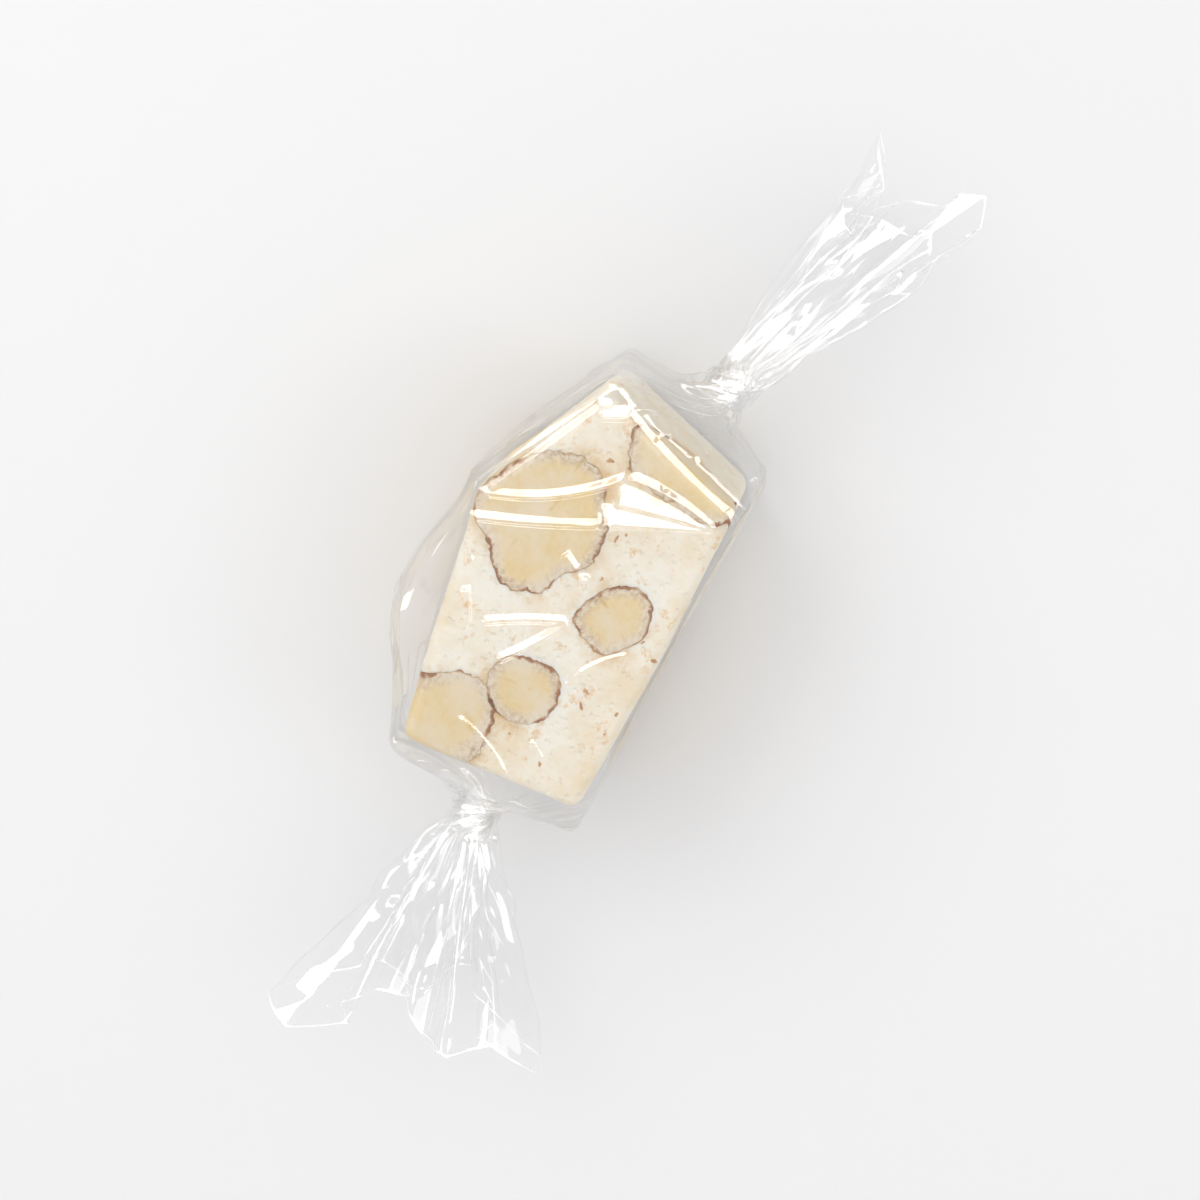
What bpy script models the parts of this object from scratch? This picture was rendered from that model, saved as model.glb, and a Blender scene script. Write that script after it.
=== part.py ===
"""A piece of almond nougat twist-wrapped in clear film, lying with its cut face up.

The nougat is a short bar cut from a slab, and the knife cut the almonds in it flush with its faces.
The wrapper is one sheet of film, rolled into a tube round the bar and twisted shut at both ends.
Metres, +Z up. +X runs along the bar to its gabled head end. The origin is on the underside of the
wrapper, below the middle of the bar. Sizes in the constants are in millimetres.
"""

import math

import bmesh
import bpy
from mathutils import Euler, Matrix, Vector

MM = 0.001
TABLE_BLOCK = (160, 80, 40)

# The wrapper's film, thicker here than real film so that it is a sound solid
FILM_WALL = 0.4
CLEARANCE = 0.3

# The nougat bar: its cut face in plan, from the tail round by the left side to the head
BAR_HEIGHT = 17.0
BAR_OUTLINE = ((-17.2, 8.2), (5.5, 10.6), (17.2, 3.8), (12.5, -10.0), (0.3, -9.4), (-16.7, -8.0))
BAR_EDGE_ROUND = 1.5
BAR_BOTTOM = FILM_WALL + CLEARANCE
BAR_TOP = BAR_BOTTOM + BAR_HEIGHT

# Almond kernels: name, centre, size as width, thickness and length, and turn in degrees
ALMOND_TAPER = 0.2
ALMONDS = (
    ("almond_head_left", (5.0, 5.3, 16.6), (12.6, 9.0, 20.0), (46, 0, 8)),
    ("almond_head_right", (13.8, -5.6, 15.4), (11.6, 9.0, 17.0), (-74, 32, -19)),
    ("almond_middle", (-0.3, -4.2, 14.0), (7.6, 7.0, 15.0), (10, -8, 30)),
    ("almond_tail", (-9.0, -1.4, 13.2), (5.6, 7.6, 18.0), (8, 24, 20)),
    ("almond_corner", (-16.4, 7.0, 15.0), (10.6, 7.4, 17.0), (62, 0, 58)),
    ("almond_left_side", (1.6, 9.6, 3.0), (10.2, 7.2, 20.0), (0, 86, 4)),
    ("almond_right_side", (-9.8, -9.8, 6.2), (11.6, 7.6, 20.0), (0, 78, 178)),
    ("almond_under", (-14.6, 3.6, 1.2), (9.6, 6.6, 15.0), (84, 0, 20)),
)
ALMOND_SEGMENTS = 16
ALMOND_RINGS = 10

# The film round the bar: rings square to its run, each with a centre, a heading and half a width.
# It is made a hair too deep, and its underside is then cut off level with the table.
FILM_SEGMENTS = 40
FILM_MIDDLE = FILM_WALL / 2 + CLEARANCE + FILM_WALL / 2 + BAR_HEIGHT / 2
UNDERSIDE_CUT = 0.03
FILM_HALF_HEIGHT = BAR_HEIGHT / 2 + CLEARANCE + FILM_WALL / 2 + UNDERSIDE_CUT
FILM_CORNER = 1.2
TAIL_WALL = {"centre": (-17.8, 0.1), "heading": 0.0, "half_width": 8.8}
SHOULDER = {"centre": (6.2, 0.6), "heading": 0.0, "half_width": 10.9}
HEAD_WALL = {"centre": (15.5, -3.3), "heading": -18.8, "half_width": 8.0}
BODY_RINGS = 6
SHOULDER_RINGS = 3

# How far the film is drawn in between the bar's corners, which it lies on
WAIST = 0.15

# The loose swell of the film along the bar's left side, highest a little above its middle
SWELL = 3.8
SWELL_MIDDLE = -6.0
SWELL_HALF_LENGTH = 13.0
SWELL_ANGLE = 20

# The twisted ends, from the bar's wall outwards
GATHER_LENGTH = 4.4
GATHER_RINGS = 5
GATHER_PLEAT = 0.8
NECK_RADIUS = 1.7
NECK_LENGTH = 3.0
NECK_RINGS = 6
NECK_PLEAT = 0.22
TWIST_TURNS = 0.75
FAN_RINGS = 8
FAN_PLEAT = 0.36
FAN_OPENING = 0.85
FLOOR_GAP = 0.1

# Each fan: heading of its run, half widths to each side, basic length, and the sheet's points
# as direction round the fan in degrees (0 left, 90 up), extra length and half angle
HEAD_FAN = {
    "wall": HEAD_WALL,
    "outward": 1,
    "heading": -24.0,
    "left": 6.4,
    "right": 4.6,
    "up": 8.6,
    "down": 8.2,
    "length": 14.0,
    "points": ((24, 8.0, 66), (110, 11.0, 70), (246, 5.0, 60)),
}
TAIL_FAN = {
    "wall": TAIL_WALL,
    "outward": -1,
    "heading": 9.0,
    "left": 11.0,
    "right": 10.0,
    "up": 7.0,
    "down": 8.2,
    "length": 14.5,
    "points": ((8, 7.0, 46), (128, 4.5, 44), (196, 6.5, 42), (290, 3.0, 40)),
}


def mix(a, b, share):
    return a + (b - a) * share


def eased(share):
    return share * share * (3 - 2 * share)


def zigzag(angle):
    """A wave of straight flanks, from -1 to 1."""
    return 2 / math.pi * math.asin(math.sin(angle))


def pleats(angle):
    """The sheet's folds round the tube: seven main pleats of uneven depth."""
    return 0.66 * zigzag(7 * angle + 0.4) + 0.34 * math.sin(3 * angle + 1.1)


# Materials


def finish(name, colour, roughness, alpha=1.0):
    material = bpy.data.materials.new(name)
    material.use_nodes = True
    shader = material.node_tree.nodes["Principled BSDF"]
    shader.inputs["Base Color"].default_value = (*colour, 1)
    shader.inputs["Roughness"].default_value = roughness
    shader.inputs["Metallic"].default_value = 0.0
    shader.inputs["Alpha"].default_value = alpha
    material.diffuse_color = (*colour, alpha)
    return material


def add_object(name, bm, material, smooth_angle=30):
    mesh = bpy.data.meshes.new(name)
    bm.to_mesh(mesh)
    bm.free()
    mesh.shade_smooth()
    mesh.set_sharp_from_angle(angle=math.radians(smooth_angle))
    if material:
        mesh.materials.append(material)
    obj = bpy.data.objects.new(name, mesh)
    bpy.context.scene.collection.objects.link(obj)
    return obj


def as_helper(obj):
    obj.hide_render = True
    obj.display_type = "WIRE"
    return obj


# The nougat bar


def bar_body():
    """The bar before the almonds: its plan drawn, raised to its height, and its edges rounded."""
    bm = bmesh.new()
    plan = bm.faces.new([bm.verts.new(Vector((x, y, BAR_BOTTOM)) * MM) for x, y in BAR_OUTLINE])
    raised = bmesh.ops.extrude_face_region(bm, geom=[plan])
    top = [item for item in raised["geom"] if isinstance(item, bmesh.types.BMVert)]
    bmesh.ops.translate(bm, verts=top, vec=(0, 0, BAR_HEIGHT * MM))
    bmesh.ops.recalc_face_normals(bm, faces=bm.faces)
    bmesh.ops.bevel(
        bm,
        geom=list(bm.edges),
        offset=BAR_EDGE_ROUND * MM,
        segments=2,
        profile=0.5,
        affect="EDGES",
        material=-1,
    )
    return bm


# The almonds


def almond_body(centre, size, turn, grown=0.0):
    """A whole kernel: a flattened ball that narrows to its tip, grown all round for its pocket."""
    bm = bmesh.new()
    bmesh.ops.create_uvsphere(
        bm, u_segments=ALMOND_SEGMENTS, v_segments=ALMOND_RINGS, radius=1
    )
    for vert in bm.verts:
        narrowing = 1 - ALMOND_TAPER * vert.co.z
        vert.co.x *= narrowing * (size[0] / 2 + grown)
        vert.co.y *= narrowing * (size[1] / 2 + grown)
        vert.co.z *= size[2] / 2 + grown
    turned = Euler([math.radians(a) for a in turn]).to_matrix().to_4x4()
    place = Matrix.Scale(MM, 4) @ Matrix.Translation(centre) @ turned
    bmesh.ops.transform(bm, matrix=place, verts=bm.verts)
    return bm


def build_nougat(nougat_finish, kernel_finish):
    """The bar with a pocket for each almond, and the almonds cut off where the bar ends."""
    whole_bar = as_helper(add_object("whole_bar", bar_body(), None))
    pockets = bpy.data.collections.new("pockets")
    pockets.hide_render = True
    bpy.context.scene.collection.children.link(pockets)
    for name, centre, size, turn in ALMONDS:
        kernel = add_object(name, almond_body(centre, size, turn), kernel_finish)
        cut_flush = kernel.modifiers.new("cut_flush", "BOOLEAN")
        cut_flush.operation = "INTERSECT"
        cut_flush.object = whole_bar
        pocket = almond_body(centre, size, turn, grown=CLEARANCE)
        helper = as_helper(add_object("pocket_" + name, pocket, None))
        bpy.context.scene.collection.objects.unlink(helper)
        pockets.objects.link(helper)
    nougat = add_object("nougat", bar_body(), nougat_finish)
    hollow = nougat.modifiers.new("almond_pockets", "BOOLEAN")
    hollow.operation = "DIFFERENCE"
    hollow.operand_type = "COLLECTION"
    hollow.collection = pockets


# The wrapper


def axes(heading):
    """A ring's forward and left directions, for a run at that heading in degrees."""
    turn = math.radians(heading)
    return Vector((math.cos(turn), math.sin(turn), 0)), Vector((-math.sin(turn), math.cos(turn), 0))


def boxed_point(angle, half_width):
    """A point of the film's rounded section, left and up from its middle: 45 degrees is a corner."""
    across, upward = abs(math.cos(angle)) * half_width, abs(math.sin(angle)) * FILM_HALF_HEIGHT
    flat_width, flat_height = half_width - FILM_CORNER, FILM_HALF_HEIGHT - FILM_CORNER
    if upward * half_width <= flat_height * across:
        reach = half_width / across
    elif across * FILM_HALF_HEIGHT <= flat_width * upward:
        reach = FILM_HALF_HEIGHT / upward
    else:
        size = across**2 + upward**2
        along = (across * flat_width + upward * flat_height) / size
        beside = (flat_width**2 + flat_height**2 - FILM_CORNER**2) / size
        reach = along + math.sqrt(along**2 - beside)
    return reach * half_width * math.cos(angle), reach * FILM_HALF_HEIGHT * math.sin(angle)


def oval_radius(angle, fan, share):
    """How far the fan's outline reaches in the direction angle, share of the way to its end."""
    sideways = mix(NECK_RADIUS, fan["left"] if math.cos(angle) > 0 else fan["right"], share)
    upright = mix(NECK_RADIUS, fan["up"] if math.sin(angle) > 0 else fan["down"], share)
    return 1 / math.hypot(math.cos(angle) / sideways, math.sin(angle) / upright)


def ring_angles():
    return [2 * math.pi * step / FILM_SEGMENTS for step in range(FILM_SEGMENTS)]


def body_ring(centre, heading, half_width):
    """One ring of film round the bar, flat underneath, with the loose swell on its left."""
    left = axes(heading)[1]
    reach = abs(centre[0] - SWELL_MIDDLE) / SWELL_HALF_LENGTH
    swell = SWELL * eased(1 - reach) if reach < 1 else 0.0
    points = []
    for angle in ring_angles():
        sideways, upward = boxed_point(angle, half_width)
        sideways += swell * max(0.0, math.cos(angle - math.radians(SWELL_ANGLE))) ** 3
        points.append(Vector((*centre, FILM_MIDDLE + upward)) + left * sideways)
    return points


def body_rings():
    rings = []
    stretches = ((TAIL_WALL, SHOULDER, BODY_RINGS), (SHOULDER, HEAD_WALL, SHOULDER_RINGS))
    for start, end, count in stretches:
        for step in range(count):
            share = step / count
            centre = [mix(a, b, share) for a, b in zip(start["centre"], end["centre"])]
            heading = mix(start["heading"], end["heading"], share)
            half_width = mix(start["half_width"], end["half_width"], share)
            rings.append(body_ring(centre, heading, half_width - WAIST * math.sin(math.pi * share)))
    rings.append(body_ring(**HEAD_WALL))
    return rings


def gather_and_neck_rings(fan):
    """The film drawn in from the bar's end wall to the neck, turning as it goes."""
    wall, outward = fan["wall"], fan["outward"]
    forward, left = axes(wall["heading"])
    rings = []
    for step in range(1, GATHER_RINGS + NECK_RINGS + 1):
        drawn = min(1.0, step / GATHER_RINGS)
        necked = max(0.0, (step - GATHER_RINGS) / NECK_RINGS)
        turned = eased(step / (GATHER_RINGS + NECK_RINGS)) * TWIST_TURNS * 2 * math.pi * outward
        folded = mix(GATHER_PLEAT * math.sin(math.pi * drawn), NECK_PLEAT, drawn)
        points = []
        for angle in ring_angles():
            facing = angle + turned
            full = boxed_point(facing, wall["half_width"])
            radius = NECK_RADIUS + folded * pleats(angle)
            sideways = mix(full[0], radius * math.cos(facing), eased(drawn))
            upward = mix(full[1], radius * math.sin(facing), eased(drawn))
            along = GATHER_LENGTH * drawn + NECK_LENGTH * necked
            middle = Vector((*wall["centre"], FILM_MIDDLE + upward)) + forward * along * outward
            points.append(middle + left * sideways)
        rings.append(points)
    return rings


def fan_length(angle, fan):
    """The film's length beyond the neck, longest where a corner of the sheet stands out."""
    length = fan["length"]
    for direction, extra, half_angle in fan["points"]:
        away = abs((math.degrees(angle) - direction + 180) % 360 - 180)
        length = max(length, fan["length"] + extra * (1 - away / half_angle))
    return length


def fan_rings(fan):
    """The free end of the film, opening from the neck in pleats."""
    wall, outward = fan["wall"], fan["outward"]
    forward, _ = axes(wall["heading"])
    run, left = axes(fan["heading"])
    neck_end = Vector((*wall["centre"], FILM_MIDDLE)) + forward * (GATHER_LENGTH + NECK_LENGTH) * outward
    turned = TWIST_TURNS * 2 * math.pi * outward
    longest = max(fan_length(angle, fan) for angle in ring_angles())
    rings = []
    for step in range(1, FAN_RINGS + 1):
        share = step / FAN_RINGS
        points = []
        for angle in ring_angles():
            facing = angle + turned
            along = share * fan_length(facing, fan)
            opened = (along / longest) ** FAN_OPENING
            folded = 1 + mix(NECK_PLEAT / NECK_RADIUS, FAN_PLEAT, eased(share)) * pleats(angle)
            radius = oval_radius(facing, fan, opened) * folded
            reach = left * math.cos(facing) + Vector((0, 0, math.sin(facing)))
            point = neck_end + run * along * outward + reach * radius
            point.z = max(point.z, FILM_WALL / 2 + FLOOR_GAP)
            points.append(point)
        rings.append(points)
    return rings


def space_above_table():
    """A block that holds the whole piece and stands on the table."""
    bm = bmesh.new()
    bmesh.ops.create_cube(bm, size=1)
    bmesh.ops.translate(bm, verts=bm.verts, vec=(0, 0, 0.5))
    bmesh.ops.scale(bm, verts=bm.verts, vec=Vector(TABLE_BLOCK) * MM)
    return as_helper(add_object("above_table", bm, None))


def build_wrapper(film_finish):
    """The tube of film, drawn out ring by ring from the tail's free edge to the head's."""
    rings = fan_rings(TAIL_FAN)[::-1] + gather_and_neck_rings(TAIL_FAN)[::-1]
    rings += body_rings() + gather_and_neck_rings(HEAD_FAN) + fan_rings(HEAD_FAN)
    bm = bmesh.new()
    edge_loop = [bm.verts.new(point * MM) for point in rings[0]]
    edges = [bm.edges.new((a, b)) for a, b in zip(edge_loop, edge_loop[1:] + edge_loop[:1])]
    for ring in rings[1:]:
        drawn = bmesh.ops.extrude_edge_only(bm, edges=edges)["geom"]
        new = {item for item in drawn if isinstance(item, bmesh.types.BMVert)}
        edges = [e for e in drawn if isinstance(e, bmesh.types.BMEdge) and set(e.verts) <= new]
        edge_loop = [next(e.other_vert(v) for e in v.link_edges if e.other_vert(v) in new) for v in edge_loop]
        for vert, point in zip(edge_loop, ring):
            vert.co = point * MM
    bmesh.ops.recalc_face_normals(bm, faces=bm.faces)
    wrapper = add_object("wrapper", bm, film_finish, smooth_angle=40)
    wall = wrapper.modifiers.new("film_wall", "SOLIDIFY")
    wall.thickness = FILM_WALL * MM
    wall.offset = 0.0
    level = wrapper.modifiers.new("level_underside", "BOOLEAN")
    level.operation = "INTERSECT"
    level.object = space_above_table()


for leftover in list(bpy.data.objects):
    bpy.data.objects.remove(leftover, do_unlink=True)

build_nougat(
    finish("nougat_cream", (0.84, 0.76, 0.61), 0.55),
    finish("almond_kernel", (0.76, 0.62, 0.36), 0.5),
)
build_wrapper(finish("clear_film", (0.95, 0.95, 0.94), 0.08, alpha=0.2))
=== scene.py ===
"""A twist-wrapped piece of almond nougat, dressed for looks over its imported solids.

Sizes are in millimetres unless a name says otherwise. +X runs along the bar to its gabled head
end, +Z is up out of the cut face that shows, and the wrapper lies on z = 0.
"""

import math
import random

import bmesh
import bpy
import numpy as np
from mathutils import Euler, Matrix, Vector, noise


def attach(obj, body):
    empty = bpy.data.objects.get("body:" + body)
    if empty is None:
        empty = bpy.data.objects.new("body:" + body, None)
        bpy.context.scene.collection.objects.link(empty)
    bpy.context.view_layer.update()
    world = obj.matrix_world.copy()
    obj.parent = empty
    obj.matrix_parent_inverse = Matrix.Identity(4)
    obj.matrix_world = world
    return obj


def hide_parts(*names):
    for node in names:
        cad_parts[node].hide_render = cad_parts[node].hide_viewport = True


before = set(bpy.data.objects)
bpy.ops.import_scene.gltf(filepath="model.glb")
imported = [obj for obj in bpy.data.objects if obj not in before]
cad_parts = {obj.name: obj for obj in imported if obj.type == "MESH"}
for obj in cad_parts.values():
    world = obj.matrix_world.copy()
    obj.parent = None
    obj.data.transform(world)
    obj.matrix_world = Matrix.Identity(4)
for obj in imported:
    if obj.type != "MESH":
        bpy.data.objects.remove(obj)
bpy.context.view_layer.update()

# The table and the studio.
# A pale matt table under a big soft light, as for a packshot on white, seen from straight above
# but for a small tilt toward the head. Small bright panels stand round it for the film to catch.

MM = 0.001
VIEW_FROM = Vector((0.23, -0.02, 0.97)).normalized()
BAR_SLOPE_ON_PAGE = math.radians(66)
VIEW_CENTRE = Vector((-1.3, -2.4, 8.0)) * MM
VIEW_WIDTH = 104 * MM
GLOSS_DISTANCE = 380
LENS = 100
SENSOR = 36
TABLE_HALF = 1200 * MM


def linear(hex_colour):
    """The linear RGBA of an sRGB hex colour."""
    channels = [int(hex_colour[i : i + 2], 16) / 255 for i in (1, 3, 5)]
    return (*[c / 12.92 if c <= 0.04045 else ((c + 0.055) / 1.055) ** 2.4 for c in channels], 1)


def new_material(name):
    """A material with only its output node, and that node."""
    material = bpy.data.materials.new(name)
    material.use_nodes = True
    material.node_tree.nodes.clear()
    return material, add_node(material, "ShaderNodeOutputMaterial")


def add_node(finish, kind, inputs=None, **settings):
    """Adds a node, with its settings, and its inputs given as values or as another node's output."""
    tree = finish.node_tree
    node = tree.nodes.new(kind)
    for name, value in settings.items():
        setattr(node, name, value)
    for name, value in (inputs or {}).items():
        if isinstance(value, bpy.types.NodeSocket):
            tree.links.new(value, node.inputs[name])
        else:
            node.inputs[name].default_value = value
    return node


def connect(finish, output, node, socket):
    finish.node_tree.links.new(output, node.inputs[socket])


across_page = VIEW_FROM.cross((Vector((1, 0, 0)) - VIEW_FROM * VIEW_FROM.x).normalized())
along_page = across_page.cross(VIEW_FROM)
page_right = along_page * math.cos(BAR_SLOPE_ON_PAGE) - across_page * math.sin(BAR_SLOPE_ON_PAGE)
page_up = along_page * math.sin(BAR_SLOPE_ON_PAGE) + across_page * math.cos(BAR_SLOPE_ON_PAGE)

camera_data = bpy.data.cameras.new("camera")
camera_data.lens = LENS
camera_data.sensor_width = SENSOR
camera_data.clip_start = 0.01
camera = bpy.data.objects.new("camera", camera_data)
bpy.context.scene.collection.objects.link(camera)
stand_off = VIEW_WIDTH * LENS / SENSOR
camera.matrix_world = Matrix.Translation(VIEW_CENTRE + VIEW_FROM * stand_off) @ (
    Matrix((page_right, page_up, VIEW_FROM)).transposed().to_4x4()
)
bpy.context.scene.camera = camera


def light_panel(name, direction, distance, width, height, radiance, colour="#FFFFFF"):
    """A soft box that faces the piece, its direction given as right, up and toward the camera."""
    data = bpy.data.lights.new(name, "AREA")
    data.shape = "RECTANGLE"
    data.size = width * MM
    data.size_y = height * MM
    data.color = linear(colour)[:3]
    data.energy = radiance * math.pi * data.size * data.size_y
    lamp = bpy.data.objects.new(name, data)
    bpy.context.scene.collection.objects.link(lamp)
    toward = page_right * direction[0] + page_up * direction[1] + VIEW_FROM * direction[2]
    toward.normalize()
    lamp.location = VIEW_CENTRE + toward * distance * MM
    lamp.rotation_euler = toward.to_track_quat("Z", "Y").to_euler()
    return lamp


light_panel("key_left", (-0.62, 0.42, 0.75), 420, 260, 260, 2.0, "#FFFCF6")
light_panel("fill_right", (0.9, -0.3, 0.9), 460, 160, 200, 2.0, "#FBFBFF")

# Four more soft boxes for gloss alone. The flat film over the cut face mirrors none of them, so
# they show only in its creases and edges
for panel_name, panel_direction, panel_width, panel_height, panel_radiance in (
    ("gloss_above", (-0.24, 0.33, 0.92), 300, 250, 8.0),
    ("gloss_left", (-0.88, -0.08, 0.44), 80, 200, 6.0),
    ("gloss_right", (0.47, 0.14, 0.87), 190, 190, 8.0),
    ("gloss_low", (-0.12, -0.92, 0.36), 200, 80, 6.0),
):
    panel = light_panel(
        panel_name, panel_direction, GLOSS_DISTANCE, panel_width, panel_height, panel_radiance
    )
    panel.visible_diffuse = False

# The sky is pale at the horizon and a little greyer overhead, as a white tent is. It is so even
# that Cycles needs no map of where it is brightest
world = bpy.data.worlds.new("studio")
world.use_nodes = True
bpy.context.scene.world = world
sky_place = add_node(world, "ShaderNodeTexCoord")
sky_parts = add_node(world, "ShaderNodeSeparateXYZ", {"Vector": sky_place.outputs["Generated"]})
sky_ramp = add_node(world, "ShaderNodeValToRGB", {"Fac": sky_parts.outputs["Z"]})
sky_ramp.color_ramp.elements[0].position = 0.2
sky_ramp.color_ramp.elements[0].color = linear("#F1F1F1")
sky_ramp.color_ramp.elements[1].position = 0.75
sky_ramp.color_ramp.elements[1].color = linear("#EBEBED")
connect(world, sky_ramp.outputs["Color"], world.node_tree.nodes["Background"], "Color")
world.cycles.sampling_method = "NONE"

# The table is seamless matt card, which scatters light evenly
card, card_output = new_material("matt_card")
card_shader = add_node(
    card, "ShaderNodeBsdfPrincipled", {"Base Color": linear("#EDEDED"), "Roughness": 0.9}
)
connect(card, card_shader.outputs["BSDF"], card_output, "Surface")
table_mesh = bpy.data.meshes.new("table")
table_bm = bmesh.new()
bmesh.ops.create_grid(table_bm, x_segments=1, y_segments=1, size=TABLE_HALF)
table_bm.to_mesh(table_mesh)
table_bm.free()
table_mesh.materials.append(card)
table = bpy.data.objects.new("table", table_mesh)
bpy.context.scene.collection.objects.link(table)

render_scene = bpy.context.scene
render_scene.view_settings.view_transform = "Standard"
render_scene.cycles.caustics_reflective = False
render_scene.cycles.caustics_refractive = False
render_scene.cycles.max_bounces = 12
render_scene.cycles.transparent_max_bounces = 48

# The nougat bar.
# Nougat is a whipped sugar and egg-white paste, cast as a slab and cut when it has set. Its cut
# faces are smooth and waxy, with the burst bubbles of the whip and drag lines from the knife.

BAR_HEIGHT = 17.0
BAR_OUTLINE = ((-17.2, 8.2), (5.5, 10.6), (17.2, 3.8), (12.5, -10.0), (0.3, -9.4), (-16.7, -8.0))
BAR_EDGE_ROUND = 1.0
BAR_BOTTOM = 0.7
SURFACE_PITCH = 0.24
SWAY_DEPTH = 0.16
SWAY_SIZE = 7.0
BUBBLE_SPACING = 1.9
BUBBLE_RADIUS = 0.55
BUBBLE_DEPTH = 0.3
SMALLEST_BUBBLE = 0.35
BUBBLE_FREE_SHARE = 0.3
GRAIN_DEPTH = 0.05
GRAIN_SIZE = 1.1
STAIN_REACH = 1.5


def add_piece(name, bm, material=None, sharp_angle=40):
    """Makes an object of the mesh, smooth but for its sharp edges."""
    mesh = bpy.data.meshes.new(name)
    bm.to_mesh(mesh)
    bm.free()
    mesh.shade_smooth()
    mesh.set_sharp_from_angle(angle=math.radians(sharp_angle))
    if material:
        mesh.materials.append(material)
    piece = bpy.data.objects.new(name, mesh)
    bpy.context.scene.collection.objects.link(piece)
    return piece


def with_modifier(piece, kind, sharp_angle=40, **settings):
    """Applies one modifier to the piece's mesh."""
    modifier = piece.modifiers.new(kind, kind)
    for name, value in settings.items():
        setattr(modifier, name, value)
    graph = bpy.context.evaluated_depsgraph_get()
    shaped = bpy.data.meshes.new_from_object(piece.evaluated_get(graph), depsgraph=graph)
    piece.modifiers.remove(modifier)
    old = piece.data
    piece.data = shaped
    bpy.data.meshes.remove(old)
    shaped.shade_smooth()
    shaped.set_sharp_from_angle(angle=math.radians(sharp_angle))
    return piece


def move_points(piece, depth_at):
    """Moves each point of the piece along its normal, by a depth in millimetres."""
    mesh = piece.data
    normals = [item.vector.copy() for item in mesh.vertex_normals]
    for vert, normal in zip(mesh.vertices, normals):
        vert.co += normal * depth_at(vert.co / MM, normal) * MM
    mesh.update()


def sway(place, normal):
    """The gentle unevenness that a hand-cut bar has all over."""
    return SWAY_DEPTH * noise.noise(place / SWAY_SIZE + Vector((3.1, 7.7, 1.3)))


def bubbles_and_grain(place, normal):
    """Burst bubbles of several sizes, and a finer grain between them."""
    distances, cells = noise.voronoi(place / BUBBLE_SPACING)
    share = noise.cell(cells[0] * 7.3)
    radius = BUBBLE_RADIUS * (SMALLEST_BUBBLE + (1 - SMALLEST_BUBBLE) * share)
    from_middle = distances[0] * BUBBLE_SPACING / radius
    burst = from_middle < 1 and share > BUBBLE_FREE_SHARE
    pit = BUBBLE_DEPTH * share * (1 - from_middle**2) if burst else 0.0
    return GRAIN_DEPTH * noise.fractal(place / GRAIN_SIZE, 0.6, 2.1, 3) - pit


def cut_bar(name):
    """The bar before its almonds: the plan raised, edges rounded, then meshed finely and evenly."""
    bm = bmesh.new()
    plan = bm.faces.new([bm.verts.new(Vector((x, y, BAR_BOTTOM)) * MM) for x, y in BAR_OUTLINE])
    raised = bmesh.ops.extrude_face_region(bm, geom=[plan])
    top = [item for item in raised["geom"] if isinstance(item, bmesh.types.BMVert)]
    bmesh.ops.translate(bm, verts=top, vec=(0, 0, BAR_HEIGHT * MM))
    bmesh.ops.recalc_face_normals(bm, faces=bm.faces)
    bmesh.ops.bevel(
        bm,
        geom=list(bm.edges),
        offset=BAR_EDGE_ROUND * MM,
        segments=4,
        profile=0.5,
        affect="EDGES",
        material=-1,
    )
    bar = add_piece(name, bm)
    with_modifier(bar, "REMESH", mode="VOXEL", voxel_size=SURFACE_PITCH * MM)
    move_points(bar, sway)
    return bar


# Nougat as cast: a cream body, a little see-through, mottled where sugar and egg white part, and
# stained warm by the skins of the almonds beside it
nougat_finish, nougat_output = new_material("set_nougat_cut_face")
nougat_place = add_node(nougat_finish, "ShaderNodeTexCoord")
nougat_mottle = add_node(
    nougat_finish,
    "ShaderNodeTexNoise",
    {"Vector": nougat_place.outputs["Object"], "Scale": 1 / (5.5 * MM), "Detail": 6.0, "Roughness": 0.66},
)
nougat_tint = add_node(nougat_finish, "ShaderNodeValToRGB", {"Fac": nougat_mottle.outputs["Fac"]})
nougat_tint.color_ramp.elements[0].position = 0.34
nougat_tint.color_ramp.elements[0].color = linear("#EEDDBC")
nougat_tint.color_ramp.elements[1].position = 0.6
nougat_tint.color_ramp.elements[1].color = linear("#F8F1E2")
nougat_fleck = add_node(
    nougat_finish,
    "ShaderNodeTexNoise",
    {"Vector": nougat_place.outputs["Object"], "Scale": 1 / (1.4 * MM), "Detail": 4.0, "Roughness": 0.75},
)
nougat_fleck_share = add_node(
    nougat_finish,
    "ShaderNodeMapRange",
    {"Value": nougat_fleck.outputs["Fac"], "From Min": 0.54, "From Max": 0.72, "To Max": 0.8},
    interpolation_type="SMOOTHSTEP",
)
nougat_flecked = add_node(
    nougat_finish,
    "ShaderNodeMix",
    {
        "Factor": nougat_fleck_share.outputs["Result"],
        "A": nougat_tint.outputs["Color"],
        "B": linear("#E4BA7C"),
    },
    data_type="RGBA",
)
almond_distance = add_node(nougat_finish, "ShaderNodeAttribute", attribute_name="from_almond")
stain_fade = add_node(
    nougat_finish,
    "ShaderNodeMapRange",
    {"Value": almond_distance.outputs["Fac"], "From Max": STAIN_REACH, "To Min": 1.0, "To Max": 0.0},
    interpolation_type="SMOOTHSTEP",
)
stain_patches = add_node(
    nougat_finish,
    "ShaderNodeMapRange",
    {"Value": nougat_mottle.outputs["Fac"], "From Min": 0.55, "From Max": 0.38, "To Max": 0.75},
)
stain_share = add_node(
    nougat_finish,
    "ShaderNodeMath",
    {0: stain_fade.outputs["Result"], 1: stain_patches.outputs["Result"]},
    operation="MULTIPLY",
)
nougat_colour = add_node(
    nougat_finish,
    "ShaderNodeMix",
    {"Factor": stain_share.outputs["Value"], "A": nougat_flecked.outputs["Result"], "B": linear("#DEB06A")},
    data_type="RGBA",
)
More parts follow.
